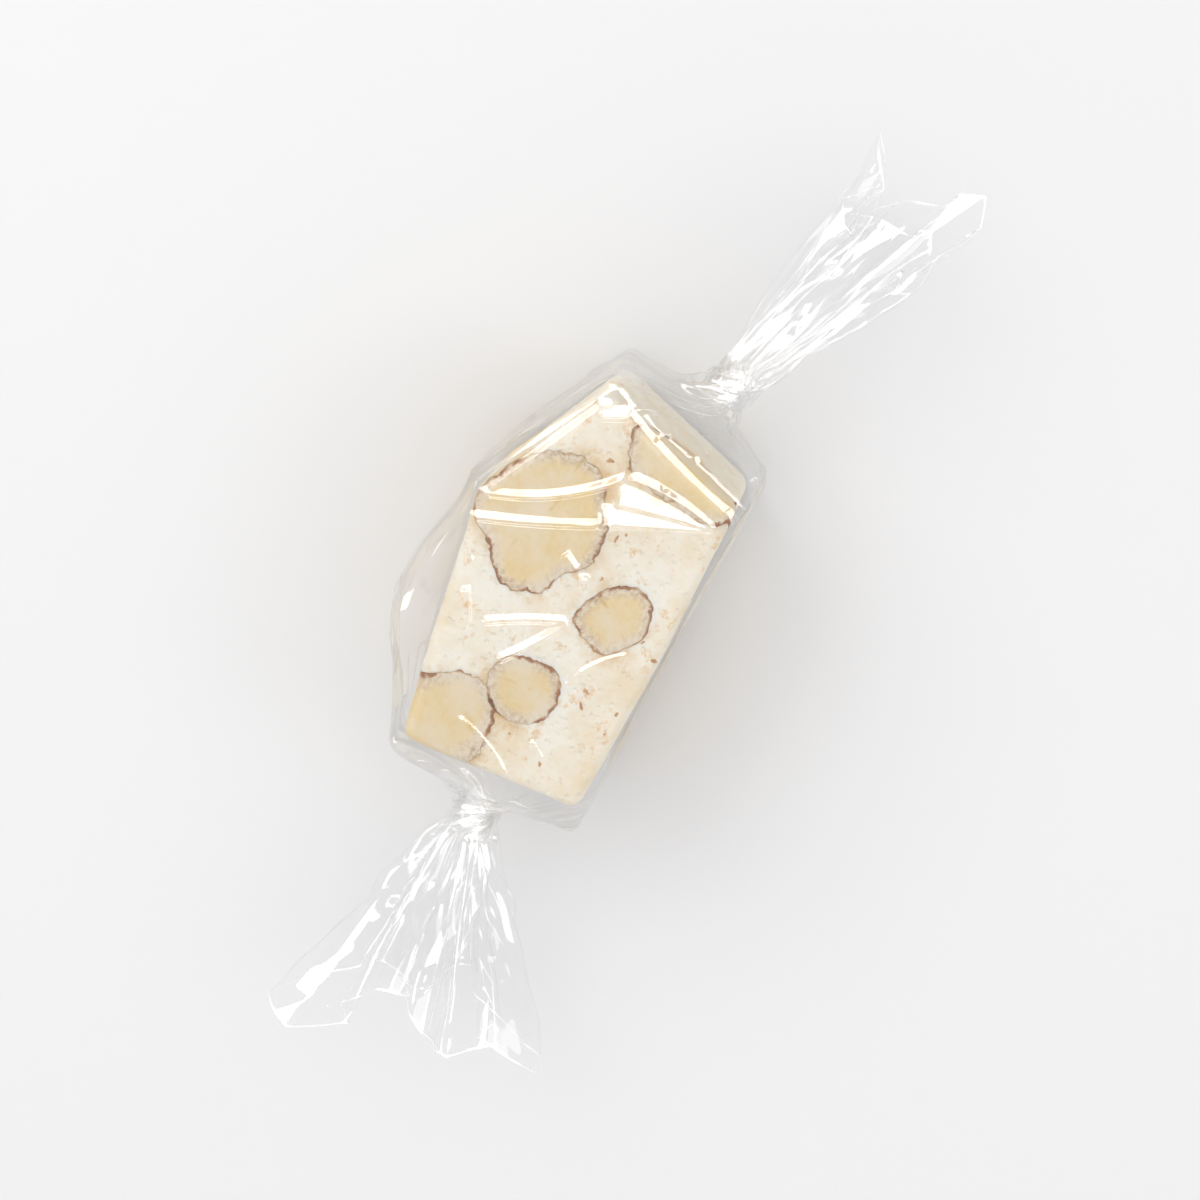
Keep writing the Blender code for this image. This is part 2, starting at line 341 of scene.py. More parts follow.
nougat_grain = add_node(
    nougat_finish,
    "ShaderNodeTexNoise",
    {"Vector": nougat_place.outputs["Object"], "Scale": 1 / (0.4 * MM), "Detail": 4.0, "Roughness": 0.65},
)
nougat_pores = add_node(
    nougat_finish,
    "ShaderNodeTexVoronoi",
    {"Vector": nougat_place.outputs["Object"], "Scale": 1 / (0.85 * MM), "Randomness": 1.0},
)
pore_floor = add_node(
    nougat_finish,
    "ShaderNodeMapRange",
    {"Value": nougat_pores.outputs["Distance"], "From Min": 0.05, "From Max": 0.3, "To Min": -0.9},
    interpolation_type="SMOOTHSTEP",
)
nougat_height = add_node(
    nougat_finish,
    "ShaderNodeMath",
    {0: nougat_grain.outputs["Fac"], 1: pore_floor.outputs["Result"]},
    operation="ADD",
)
nougat_relief = add_node(
    nougat_finish,
    "ShaderNodeBump",
    {"Height": nougat_height.outputs["Value"], "Strength": 0.45, "Distance": 0.13 * MM},
)
nougat_shader = add_node(
    nougat_finish,
    "ShaderNodeBsdfPrincipled",
    {
        "Base Color": nougat_colour.outputs["Result"],
        "Roughness": 0.58,
        "IOR": 1.46,
        "Subsurface Weight": 0.3,
        "Subsurface Radius": (1.0, 0.72, 0.45),
        "Subsurface Scale": 1.4 * MM,
        "Normal": nougat_relief.outputs["Normal"],
    },
)
connect(nougat_finish, nougat_shader.outputs["BSDF"], nougat_output, "Surface")

smooth_bar = cut_bar("smooth_bar")
nougat = cut_bar("nougat_bar")
move_points(nougat, bubbles_and_grain)
nougat.data.materials.append(nougat_finish)

# The almonds.
# Whole and broken kernels were stirred into the nougat, and the knife cut them flush with it.
# A kernel is two pale seed leaves that meet in a flat seam, in a thin brown papery skin.

# The kernels that show in the cut face: half depth, lean, heading of the seam, and cut outline
CUT_KERNELS = {
    "almond_head_left": {
        "half_depth": 7.5,
        "lean": (0.25, -0.1),
        "seam": -16,
        "outline": (
            (3.2, 10.0), (5.4, 10.3), (7.0, 9.5), (9.2, 8.2), (10.6, 6.7), (11.4, 4.4), (11.3, 2.2),
            (9.4, 0.6), (6.2, -0.8), (3.8, -1.0), (1.9, 1.2), (-0.7, 2.1), (-1.2, 3.8), (-1.4, 5.6),
            (-0.4, 6.6), (1.2, 7.4), (2.2, 8.6),
        ),
    },
    "almond_head_right": {
        "half_depth": 6.2,
        "lean": (0.3, 0.2),
        "seam": -72,
        "outline": (
            (16.4, 0.4), (15.2, 0.7), (14.0, 0.3), (12.3, -0.4), (11.6, -2.3), (11.1, -5.2), (10.4, -8.4),
            (11.4, -9.9), (14.5, -10.6), (18.5, -9.0), (20.2, -5.5), (19.2, -1.6),
        ),
    },
    "almond_middle": {
        "half_depth": 6.5,
        "lean": (-0.2, 0.15),
        "seam": 62,
        "outline": (
            (-1.7, -1.2), (0.4, -1.7), (1.5, -2.3), (2.8, -3.7), (3.2, -5.5), (2.6, -6.6), (1.4, -7.1),
            (-0.5, -7.2), (-2.0, -6.1), (-3.4, -4.1), (-2.7, -3.2), (-2.1, -1.9),
        ),
    },
    "almond_tail": {
        "half_depth": 5.5,
        "lean": (-0.4, 0.0),
        "seam": 100,
        "outline": (
            (-6.9, 2.9), (-6.2, 0.4), (-6.0, -1.3), (-6.6, -2.2), (-8.4, -2.8), (-10.8, -2.2),
            (-11.9, -0.4), (-11.2, 2.2), (-9.0, 3.5),
        ),
    },
}

# The kernels in the other faces: middle, thickness by width by length, and turn
OTHER_KERNELS = {
    "almond_corner": ((-16.4, 7.0, 15.0), (10.6, 7.4, 17.0), (62, 0, 58)),
    "almond_left_side": ((1.6, 9.6, 3.0), (10.2, 7.2, 20.0), (0, 86, 4)),
    "almond_right_side": ((-9.8, -9.8, 6.2), (11.6, 7.6, 20.0), (0, 78, 178)),
    "almond_under": ((-14.6, 3.6, 1.2), (9.6, 6.6, 15.0), (84, 0, 20)),
}
CUT_FACE = 17.7
ALMOND_TAPER = 0.2
OUTLINE_SAMPLES = 144
OUTLINE_ROUNDING = 3
ALMOND_LUMPS = 2.4
ALMOND_LUMP_DEPTH = 0.05
ALMOND_RIDGES = 22
ALMOND_RIDGE_DEPTH = 0.01
SEAM_WAVE = 0.3
FLUSH_GAP = 0.03
KERNEL_SEED_STEP = 5.3


def outline_reach(outline, middle):
    """How far a cut outline lies from its middle, in even steps of direction, its corners eased."""
    offsets = np.subtract(outline, middle)
    directions = np.arctan2(offsets[:, 1], offsets[:, 0])
    steps = np.linspace(0, 2 * np.pi, OUTLINE_SAMPLES, endpoint=False)
    reach = np.interp(steps, directions, np.hypot(offsets[:, 0], offsets[:, 1]), period=2 * np.pi)
    around = range(-(OUTLINE_ROUNDING // 2), OUTLINE_ROUNDING // 2 + 1)
    return sum(np.roll(reach, step) for step in around) / OUTLINE_ROUNDING


def kernel_frame(name):
    """Where a kernel lies: its middle and turn. One that shows in the cut face has its seam upright."""
    if name in CUT_KERNELS:
        centre = (*np.mean(CUT_KERNELS[name]["outline"], axis=0), CUT_FACE)
        turn = (0, 0, CUT_KERNELS[name]["seam"])
    else:
        centre, _, turn = OTHER_KERNELS[name]
    turned = Euler([math.radians(a) for a in turn]).to_matrix().to_4x4()
    return Matrix.Scale(MM, 4) @ Matrix.Translation(centre) @ turned


def kernel_body(name, seed, grown=0.0):
    """A kernel: a ball narrowed to its tip, or swept from its cut outline, with lumps and ridges."""
    bm = bmesh.new()
    bmesh.ops.create_uvsphere(bm, u_segments=OUTLINE_SAMPLES, v_segments=48, radius=1)
    shape = CUT_KERNELS.get(name)
    if shape:
        heading = math.radians(shape["seam"])
        reach = outline_reach(shape["outline"], np.mean(shape["outline"], axis=0))
        leaning = Matrix.Rotation(-heading, 2) @ Vector(shape["lean"])
    else:
        size = OTHER_KERNELS[name][1]
    for vert in bm.verts:
        around = math.atan2(vert.co.y, vert.co.x)
        lumps = noise.fractal(vert.co * ALMOND_LUMPS + Vector((seed, 0, 0)), 0.45, 2.1, 6)
        ridges = math.sin(ALMOND_RIDGES * around + 3 * lumps)
        swell = 1 + ALMOND_LUMP_DEPTH * lumps + ALMOND_RIDGE_DEPTH * ridges
        if shape:
            step = round((around + heading) / (2 * math.pi) * OUTLINE_SAMPLES) % OUTLINE_SAMPLES
            broad = reach[step] * swell + grown
            depth = vert.co.z * (shape["half_depth"] * swell + grown)
            vert.co.x = vert.co.x * broad + leaning.x * depth
            vert.co.y = vert.co.y * broad + leaning.y * depth
            vert.co.z = depth
        else:
            narrowing = (1 - ALMOND_TAPER * vert.co.z) * swell
            vert.co.x *= narrowing * (size[0] / 2 + grown)
            vert.co.y *= narrowing * (size[1] / 2 + grown)
            vert.co.z *= swell * (size[2] / 2 + grown)
    bmesh.ops.transform(bm, matrix=kernel_frame(name), verts=bm.verts)
    return add_piece("whole_" + name, bm)


def mark_kernel(piece, whole, name):
    """Stores each point's depth below the kernel's skin, and its distance from the seam."""
    back = kernel_frame(name).inverted()
    depth = piece.data.attributes.new("under_skin", "FLOAT", "POINT")
    seam = piece.data.attributes.new("from_seam", "FLOAT", "POINT")
    for vert in piece.data.vertices:
        _, nearest, _, _ = whole.closest_point_on_mesh(vert.co)
        depth.data[vert.index].value = (nearest - vert.co).length / MM
        local = back @ vert.co
        seam.data[vert.index].value = local.y + SEAM_WAVE * math.sin(local.x * 0.7)


# Raw kernel: ivory seed leaves, frosted pale at the rim and yellow at heart, a faint seam, and a
# rust-brown skin that the knife left as a thin torn line, here and there smeared or gone
kernel_finish, kernel_output = new_material("almond_kernel_and_skin")
kernel_coords = add_node(kernel_finish, "ShaderNodeTexCoord")
skin_depth = add_node(kernel_finish, "ShaderNodeAttribute", attribute_name="under_skin")
seam_distance = add_node(kernel_finish, "ShaderNodeAttribute", attribute_name="from_seam")
flesh_mottle = add_node(
    kernel_finish,
    "ShaderNodeTexNoise",
    {"Vector": kernel_coords.outputs["Object"], "Scale": 1 / (3.4 * MM), "Detail": 6.0, "Roughness": 0.62},
)
flesh_heart = add_node(
    kernel_finish,
    "ShaderNodeMapRange",
    {"Value": skin_depth.outputs["Fac"], "From Min": 0.2, "From Max": 1.2},
    interpolation_type="SMOOTHSTEP",
)
flesh_patches = add_node(
    kernel_finish,
    "ShaderNodeMapRange",
    {"Value": flesh_mottle.outputs["Fac"], "From Min": 0.36, "From Max": 0.62, "To Min": 0.3, "To Max": 1.0},
)
flesh_share = add_node(
    kernel_finish,
    "ShaderNodeMath",
    {0: flesh_heart.outputs["Result"], 1: flesh_patches.outputs["Result"]},
    operation="MULTIPLY",
)
flesh_colour = add_node(
    kernel_finish,
    "ShaderNodeMix",
    {"Factor": flesh_share.outputs["Value"], "A": linear("#E9DCC6"), "B": linear("#E9CF95")},
    data_type="RGBA",
)
flesh_specks = add_node(
    kernel_finish,
    "ShaderNodeTexNoise",
    {"Vector": kernel_coords.outputs["Object"], "Scale": 1 / (0.45 * MM), "Detail": 5.0, "Roughness": 0.8},
)
rim_specks = add_node(
    kernel_finish,
    "ShaderNodeMapRange",
    {"Value": flesh_specks.outputs["Fac"], "From Min": 0.42, "From Max": 0.6, "To Min": 0.1, "To Max": 1.0},
)
rim_fade = add_node(
    kernel_finish,
    "ShaderNodeMapRange",
    {"Value": skin_depth.outputs["Fac"], "From Max": 1.1, "To Min": 1.0, "To Max": 0.1},
)
rim_stretches = add_node(
    kernel_finish,
    "ShaderNodeMapRange",
    {"Value": flesh_mottle.outputs["Fac"], "From Min": 0.4, "From Max": 0.58, "To Min": 0.25, "To Max": 1.0},
)
rim_soiled = add_node(
    kernel_finish,
    "ShaderNodeMath",
    {0: rim_fade.outputs["Result"], 1: rim_stretches.outputs["Result"]},
    operation="MULTIPLY",
)
rim_share = add_node(
    kernel_finish,
    "ShaderNodeMath",
    {0: rim_specks.outputs["Result"], 1: rim_soiled.outputs["Value"]},
    operation="MULTIPLY",
)
specked_colour = add_node(
    kernel_finish,
    "ShaderNodeMix",
    {"Factor": rim_share.outputs["Value"], "A": flesh_colour.outputs["Result"], "B": linear("#AC8250")},
    data_type="RGBA",
)
seam_width = add_node(
    kernel_finish,
    "ShaderNodeMath",
    {0: seam_distance.outputs["Fac"]},
    operation="ABSOLUTE",
)
seam_line = add_node(
    kernel_finish,
    "ShaderNodeMapRange",
    {"Value": seam_width.outputs["Value"], "From Min": 0.04, "From Max": 0.2, "To Min": 1.0, "To Max": 0.0},
)
seam_breaks = add_node(
    kernel_finish,
    "ShaderNodeMapRange",
    {"Value": flesh_mottle.outputs["Fac"], "From Min": 0.46, "From Max": 0.6, "To Max": 0.6},
)
seam_share = add_node(
    kernel_finish,
    "ShaderNodeMath",
    {0: seam_line.outputs["Result"], 1: seam_breaks.outputs["Result"]},
    operation="MULTIPLY",
)
seamed_colour = add_node(
    kernel_finish,
    "ShaderNodeMix",
    {"Factor": seam_share.outputs["Value"], "A": specked_colour.outputs["Result"], "B": linear("#CDA552")},
    data_type="RGBA",
)
skin_tear = add_node(
    kernel_finish,
    "ShaderNodeTexNoise",
    {"Vector": kernel_coords.outputs["Object"], "Scale": 1 / (0.7 * MM), "Detail": 4.0, "Roughness": 0.75},
)
skin_stretches = add_node(
    kernel_finish,
    "ShaderNodeTexNoise",
    {"Vector": kernel_coords.outputs["Object"], "Scale": 1 / (2.6 * MM), "Detail": 2.0, "Roughness": 0.5},
)
skin_thickness = add_node(
    kernel_finish,
    "ShaderNodeMapRange",
    {"Value": skin_tear.outputs["Fac"], "From Min": 0.3, "From Max": 0.7, "To Min": 0.02, "To Max": 0.46},
)
skin_presence = add_node(
    kernel_finish,
    "ShaderNodeMapRange",
    {"Value": skin_stretches.outputs["Fac"], "From Min": 0.43, "From Max": 0.57, "To Min": 0.04},
)
skin_reach = add_node(
    kernel_finish,
    "ShaderNodeMath",
    {0: skin_thickness.outputs["Result"], 1: skin_presence.outputs["Result"]},
    operation="MULTIPLY",
)
skin_inside = add_node(
    kernel_finish,
    "ShaderNodeMath",
    {0: skin_reach.outputs["Value"], 1: skin_depth.outputs["Fac"]},
    operation="SUBTRACT",
)
skin_share = add_node(
    kernel_finish,
    "ShaderNodeMapRange",
    {"Value": skin_inside.outputs["Value"], "From Min": -0.12, "From Max": 0.1},
    interpolation_type="SMOOTHSTEP",
)
skin_colour = add_node(
    kernel_finish,
    "ShaderNodeMix",
    {"Factor": skin_presence.outputs["Result"], "A": linear("#D8AE72"), "B": linear("#9A622F")},
    data_type="RGBA",
)
kernel_colour = add_node(
    kernel_finish,
    "ShaderNodeMix",
    {
        "Factor": skin_share.outputs["Result"],
        "A": seamed_colour.outputs["Result"],
        "B": skin_colour.outputs["Result"],
    },
    data_type="RGBA",
)
kernel_relief = add_node(
    kernel_finish,
    "ShaderNodeBump",
    {"Height": skin_tear.outputs["Fac"], "Strength": 0.3, "Distance": 0.1 * MM},
)
kernel_shader = add_node(
    kernel_finish,
    "ShaderNodeBsdfPrincipled",
    {
        "Base Color": kernel_colour.outputs["Result"],
        "Roughness": 0.46,
        "IOR": 1.46,
        "Subsurface Weight": 0.15,
        "Subsurface Radius": (1.0, 0.7, 0.4),
        "Subsurface Scale": 0.6 * MM,
        "Normal": kernel_relief.outputs["Normal"],
    },
)
connect(kernel_finish, kernel_shader.outputs["BSDF"], kernel_output, "Surface")

whole_kernels = []
for number, name in enumerate([*CUT_KERNELS, *OTHER_KERNELS]):
    whole = kernel_body(name, KERNEL_SEED_STEP * number)
    kernel = kernel_body(name, KERNEL_SEED_STEP * number, -FLUSH_GAP)
    kernel.name = name + "_kernel"
    with_modifier(nougat, "BOOLEAN", operation="DIFFERENCE", object=whole, solver="MANIFOLD")
    with_modifier(kernel, "BOOLEAN", operation="INTERSECT", object=smooth_bar, solver="MANIFOLD")
    mark_kernel(kernel, whole, name)
    kernel.data.materials.clear()
    kernel.data.materials.append(kernel_finish)
    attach(kernel, "root")
    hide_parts(name)
    whole_kernels.append(whole)

# The nougat knows how near an almond each of its points is, for the stains that the skins leave
stained = nougat.data.attributes.new("from_almond", "FLOAT", "POINT")
for vert in nougat.data.vertices:
    nearest = STAIN_REACH
    for whole in whole_kernels:
        found, place, _, _ = whole.closest_point_on_mesh(vert.co, distance=STAIN_REACH * MM)
        if found:
            nearest = min(nearest, (place - vert.co).length / MM)
    stained.data[vert.index].value = nearest
for whole in whole_kernels:
    bpy.data.objects.remove(whole)
bpy.data.objects.remove(smooth_bar)
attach(nougat, "root")
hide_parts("nougat")

# The skin flecks.
# Chips of almond skin that came off in the stirring, caught flat in the cut faces. Each is a thin
# torn scale, most of it under the nougat's surface.

FLECK_SEED = 17
FLECK_COUNT = 34
FLECK_THICKNESS = 0.16
FLECK_PROUD = 0.03
FLECK_CORNERS = 14
FLECK_TEAR = (0.45, 1.0)
FLECK_LENGTH = (0.25, 0.6)
FLECK_WIDTH_SHARE = (0.4, 0.8)
FLECK_THROW = 24
FLECK_THROW_FLATNESS = 0.6

# The chips listed in the cut face: middle in plan, length, width and heading
PLACED_FLECKS = (
    ((-6.6, -4.5), 1.5, 0.55, 12),
    ((-8.1, -4.8), 1.1, 0.4, -14),
    ((12.2, 1.3), 0.8, 0.55, 70),
    ((-1.9, -9.0), 0.8, 0.5, 20),
    ((-7.4, -7.8), 0.6, 0.45, 120),
    ((6.4, -1.8), 1.0, 0.4, -50),
    ((7.0, -2.4), 0.5, 0.35, 20),
    ((-14.2, -3.6), 0.7, 0.45, -30),
)


def add_fleck(bm, place, normal, length, width, heading, draw):
    """Adds one scale of skin that lies in the surface at that place."""
    across = normal.orthogonal().normalized()
    across.rotate(Matrix.Rotation(heading, 3, normal))
    beside = normal.cross(across)
    rim = []
    for corner in range(FLECK_CORNERS):
        angle = 2 * math.pi * corner / FLECK_CORNERS
        torn = draw.uniform(*FLECK_TEAR)
        offset = across * math.cos(angle) * length / 2 * torn + beside * math.sin(angle) * width / 2 * torn
        rim.append(place + offset * MM)
    top = [bm.verts.new(point + normal * FLECK_PROUD * draw.uniform(0.2, 0.6) * MM) for point in rim]
    middle = bm.verts.new(place + normal * FLECK_PROUD * MM)
    sunk = normal * (FLECK_THICKNESS - FLECK_PROUD) * MM
    bottom = [bm.verts.new(point - sunk) for point in rim]
    bm.faces.new(bottom[::-1])
    for corner in range(FLECK_CORNERS):
        after = (corner + 1) % FLECK_CORNERS
        bm.faces.new((middle, top[corner], top[after]))
        bm.faces.new((top[corner], bottom[corner], bottom[after], top[after]))


# Almond skin: thin, brown, finely mottled from tan to russet
skin_finish, skin_output = new_material("almond_skin_chips")
skin_coords = add_node(skin_finish, "ShaderNodeTexCoord")
skin_mottle = add_node(
    skin_finish,
    "ShaderNodeTexNoise",
    {"Vector": skin_coords.outputs["Object"], "Scale": 1 / (0.6 * MM), "Detail": 4.0, "Roughness": 0.7},
)
skin_tint = add_node(skin_finish, "ShaderNodeValToRGB", {"Fac": skin_mottle.outputs["Fac"]})
skin_tint.color_ramp.elements[0].position = 0.36
skin_tint.color_ramp.elements[0].color = linear("#B07840")
skin_tint.color_ramp.elements[1].position = 0.64
skin_tint.color_ramp.elements[1].color = linear("#DDB074")
skin_relief = add_node(
    skin_finish,
    "ShaderNodeBump",
    {"Height": skin_mottle.outputs["Fac"], "Strength": 0.4, "Distance": 0.06 * MM},
)
skin_shader = add_node(
    skin_finish,
    "ShaderNodeBsdfPrincipled",
    {"Base Color": skin_tint.outputs["Color"], "Roughness": 0.6, "Normal": skin_relief.outputs["Normal"]},
)
connect(skin_finish, skin_shader.outputs["BSDF"], skin_output, "Surface")

fleck_draw = random.Random(FLECK_SEED)
fleck_bm = bmesh.new()
wanted = [((x, y, CUT_FACE), length, width, heading) for (x, y), length, width, heading in PLACED_FLECKS]
for number in range(FLECK_COUNT):
    far_off = Vector([fleck_draw.gauss(0, 1) for axis in range(3)]).normalized() * FLECK_THROW
    spot = (far_off.x, far_off.y, far_off.z * FLECK_THROW_FLATNESS + BAR_BOTTOM + BAR_HEIGHT / 2)
    length = fleck_draw.uniform(*FLECK_LENGTH)
    width = length * fleck_draw.uniform(*FLECK_WIDTH_SHARE)
    wanted.append((spot, length, width, fleck_draw.uniform(0, 180)))
for spot, length, width, heading in wanted:
    _, surface, facing, _ = nougat.closest_point_on_mesh(Vector(spot) * MM)
    add_fleck(fleck_bm, surface, facing.normalized(), length, width, math.radians(heading), fleck_draw)
flecks = add_piece("skin_flecks", fleck_bm, skin_finish, sharp_angle=30)
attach(flecks, "root")

# The wrapper.
# One sheet of clear cellophane, 0.03 mm thick, rolled round the bar with a lap along its left side
# and twisted shut at both ends. It is drawn tight over the bar's edges, creased where the twists
# pull, slack along the left side, and pleated and crumpled in the two free ends.

SHEET_COLUMNS = 412
TOP_COLUMN_DENSITY = 2.8
SHEET_LAP = math.radians(24)
SEAM_ANGLE = math.radians(12)
WIND = 0.22
FILM_MIDDLE = 9.2
FILM_HALF_HEIGHT = 8.95
FILM_CORNER = 1.1
TAIL_WALL = {"centre": (-17.8, 0.1), "heading": 0.0, "half_width": 8.8}
SHOULDER = {"centre": (6.2, 0.6), "heading": 0.0, "half_width": 10.9}
HEAD_WALL = {"centre": (15.5, -3.3), "heading": -18.8, "half_width": 8.0}
WAIST = 0.15
SWELL = 3.7
SWELL_MIDDLE = -6.0
SWELL_HALF_LENGTH = 13.0
SWELL_ANGLE = math.radians(20)
GATHER_LENGTH = 4.4
GATHER_PLEAT = 0.8
NECK_RADIUS = 1.7
NECK_LENGTH = 3.0
NECK_PLEAT = 0.22
TWIST = 0.75 * 2 * math.pi
GATHER_SHARE = 5 / 11
FINE_PLEATS = 19
FAN_PLEAT = 0.36
FAN_OPENING = 0.85
HEAD_FAN = {
    "wall": HEAD_WALL,
    "outward": 1,
    "heading": -24.0,
    "left": 6.4,
    "right": 4.6,
    "up": 8.6,
    "down": 8.2,
    "length": 14.0,
    "points": ((24, 8.0, 66), (110, 11.0, 70), (246, 5.0, 60)),
}
TAIL_FAN = {
    "wall": TAIL_WALL,
    "outward": -1,
    "heading": 9.0,
    "left": 11.0,
    "right": 10.0,
    "up": 7.0,
    "down": 8.2,
    "length": 14.5,
    "points": ((8, 7.0, 46), (128, 4.5, 44), (196, 6.5, 42), (290, 3.0, 40)),
}
FAN_ROWS = 58
TWIST_ROWS = 34
TWIST_JOIN = 16
TAIL_BODY_ROWS = 122
HEAD_BODY_ROWS = 80

# Creases and crumples, as heights and widths in the sheet's own plane
SHEET_GIRTH_RADIUS = 12.1
CREST = 0.06
SLACK_DEPTH = 0.07
CRUMPLE_WAVES = ((11.0, 0.5), (7.2, 0.3), (4.8, 0.14))
BODY_CRUMPLE = 0.12
BODY_CRUMPLE_SEED = 5
FAN_CRUMPLE_SEED = 11
CREASE_SEED = 42
TOP_QUIET = 0.1
BODY_FADE = 3.0
FAN_START = 8.0
FAN_FADE = 4.0

# The creases that lie at random: how many of each kind, and the ranges of their sizes
PULLS = {"count": 15, "start": (1.0, 3.0), "reach": (3.5, 11.0), "width": (0.45, 0.8), "height": (0.16, 0.4)}
SIDES = {"count": 34, "half": (2.5, 7.0), "width": (0.4, 0.9), "height": (0.1, 0.3), "bow": (-0.8, 0.8)}
FANS = {"count": 26, "half": (4.0, 10.0), "width": (0.7, 1.6), "height": (0.25, 0.6), "bow": (-1, 1)}
PULL_SLANT = 0.28
FAN_SLANT = 0.9
FAN_CREASE_REACH = (2, 20)
TABLE_GAP = 0.05
FILM_TOP = 18.9

# The creases on the shown face, in plan: start, end, height, widths of the flanks, bow, and how
# much narrower and lower the far end is. The first flank is the one left of the run to the end
TOP_CREASES = (
    ((5.3, 9.8), (16.9, 3.2), 0.25, 0.46, 0.3, 0.0, 0.0),
    ((16.9, 2.3), (12.0, -9.8), 0.3, 0.62, 0.35, -0.35, 0.0),
    ((5.2, 10.5), (11.6, -0.7), 0.27, 0.55, 0.35, -0.95, 0.0),
    ((3.0, 10.3), (7.0, -0.3), 0.27, 0.55, 0.35, -0.2, 0.0),
    ((6.8, 0.2), (10.4, -9.2), 0.56, 2.0, 0.3, 0.1, 0.8),
    ((9.1, -0.3), (10.4, -9.2), 0.54, 2.0, 0.3, 0.1, 0.8),
    ((11.5, -0.5), (10.4, -9.2), 0.36, 0.8, 0.4, 0.5, 0.4),
    ((-4.9, 5.8), (-1.7, -1.1), 0.25, 0.52, 0.35, 0.2, 0.0),
    ((-7.4, 3.3), (-1.7, -1.1), 0.25, 0.52, 0.35, -0.2, 0.0),
    ((-2.5, 8.0), (-5.8, 6.5), 0.3, 0.3, 0.64, 0.0, 0.0),
    ((0.1, 8.7), (-4.5, 6.0), 0.16, 0.3, 0.36, 0.1, 0.0),
    ((2.6, -0.8), (-0.2, -1.6), 0.4, 0.3, 0.85, 0.0, 0.6),
    ((3.4, 1.7), (2.5, 0.2), 0.3, 0.62, 0.4, 0.0, 0.0),
    ((15.3, 3.5), (16.3, 1.2), 0.42, 0.9, 0.4, 0.0, 0.0),
    ((16.1, 4.0), (16.6, 3.0), 0.24, 0.5, 0.4, 0.0, 0.0),
    ((12.4, -9.0), (11.5, -10.1), 0.3, 0.62, 0.4, 0.0, 0.0),
    ((-7.1, -2.8), (-2.1, -6.9), 0.12, 0.3, 0.5, 0.6, 0.0),
    ((-13.2, 4.4), (-16.4, -1.6), 0.2, 0.3, 0.44, 0.5, 0.0),
    ((-12.4, -2.0), (-16.2, -5.4), 0.2, 0.3, 0.44, 0.4, 0.3),
)
CREASE_END = 0.07


def mix(a, b, share):
    return a + (b - a) * share


def eased(share):
    return share * share * (3 - 2 * share)


def zigzag(angle):
    """A wave of straight flanks, from -1 to 1."""
    return 2 / np.pi * np.arcsin(np.sin(angle))


def pleats(angle):
    """The sheet's main folds round the tube: seven of uneven depth."""
    return 0.66 * zigzag(7 * angle + 0.4) + 0.34 * np.sin(3 * angle + 1.1)


def boxed_point(angle, half_width):
    """Points of the film's rounded section, left and up from its middle: 45 degrees is a corner."""
    across, upward = np.abs(np.cos(angle)) * half_width, np.abs(np.sin(angle)) * FILM_HALF_HEIGHT
    flat_width, flat_height = half_width - FILM_CORNER, FILM_HALF_HEIGHT - FILM_CORNER
    size = across**2 + upward**2
    along = (across * flat_width + upward * flat_height) / size
    beside = (flat_width**2 + flat_height**2 - FILM_CORNER**2) / size
    reach = along + np.sqrt(np.maximum(along**2 - beside, 0))
    with np.errstate(divide="ignore"):
        side, lid = half_width / across, FILM_HALF_HEIGHT / upward
    reach = np.where(upward * half_width <= flat_height * across, side, reach)
    reach = np.where(across * FILM_HALF_HEIGHT <= flat_width * upward, lid, reach)
    return reach * half_width * np.cos(angle), reach * FILM_HALF_HEIGHT * np.sin(angle)


def axes(heading):
    turn = math.radians(heading)
    forward = np.array((math.cos(turn), math.sin(turn), 0))
    return forward, np.array((-math.sin(turn), math.cos(turn), 0))


def body_row(start, end, share, angle):
    """The film's points round the bar, a share of the way from one station to the next."""
    centre = [mix(a, b, share) for a, b in zip(start["centre"], end["centre"])]
    left = axes(mix(start["heading"], end["heading"], share))[1]
    half_width = mix(start["half_width"], end["half_width"], share) - WAIST * math.sin(math.pi * share)
    slack = 1 - abs(centre[0] - SWELL_MIDDLE) / SWELL_HALF_LENGTH
    sideways, upward = boxed_point(angle, half_width)
    sideways += SWELL * eased(max(0.0, slack)) * np.maximum(0.0, np.cos(angle - SWELL_ANGLE)) ** 3
    points = np.array((*centre, FILM_MIDDLE)) + sideways[:, None] * left
    points[:, 2] += upward
    return points


def twist_row(fan, share, angle):
    """The film drawn in from the bar's end wall to the neck, turning as it goes."""
    wall, outward = fan["wall"], fan["outward"]
    forward, left = axes(wall["heading"])
    drawn = min(1.0, share / GATHER_SHARE)
    necked = max(0.0, (share - GATHER_SHARE) / (1 - GATHER_SHARE))
    facing = angle + eased(share) * TWIST * outward
    folded = mix(GATHER_PLEAT * math.sin(math.pi * drawn), NECK_PLEAT, drawn)
    radius = NECK_RADIUS + folded * (0.6 * pleats(angle) + 0.4 * zigzag(FINE_PLEATS * angle))
    full = boxed_point(facing, wall["half_width"])
    sideways = mix(full[0], radius * np.cos(facing), eased(drawn))
    upward = mix(full[1], radius * np.sin(facing), eased(drawn))
    along = (GATHER_LENGTH * drawn + NECK_LENGTH * necked) * outward
    points = np.array((*wall["centre"], FILM_MIDDLE)) + forward * along + sideways[:, None] * left
    points[:, 2] += upward
    return points


def fan_lengths(facing, fan):
    """The film's length beyond the neck, longest where a corner of the sheet stands out."""
    lengths = np.full_like(facing, fan["length"])
    for direction, extra, half_angle in fan["points"]:
        away = np.abs((np.degrees(facing) - direction + 180) % 360 - 180)
        lengths = np.maximum(lengths, fan["length"] + extra * (1 - away / half_angle))
    return lengths


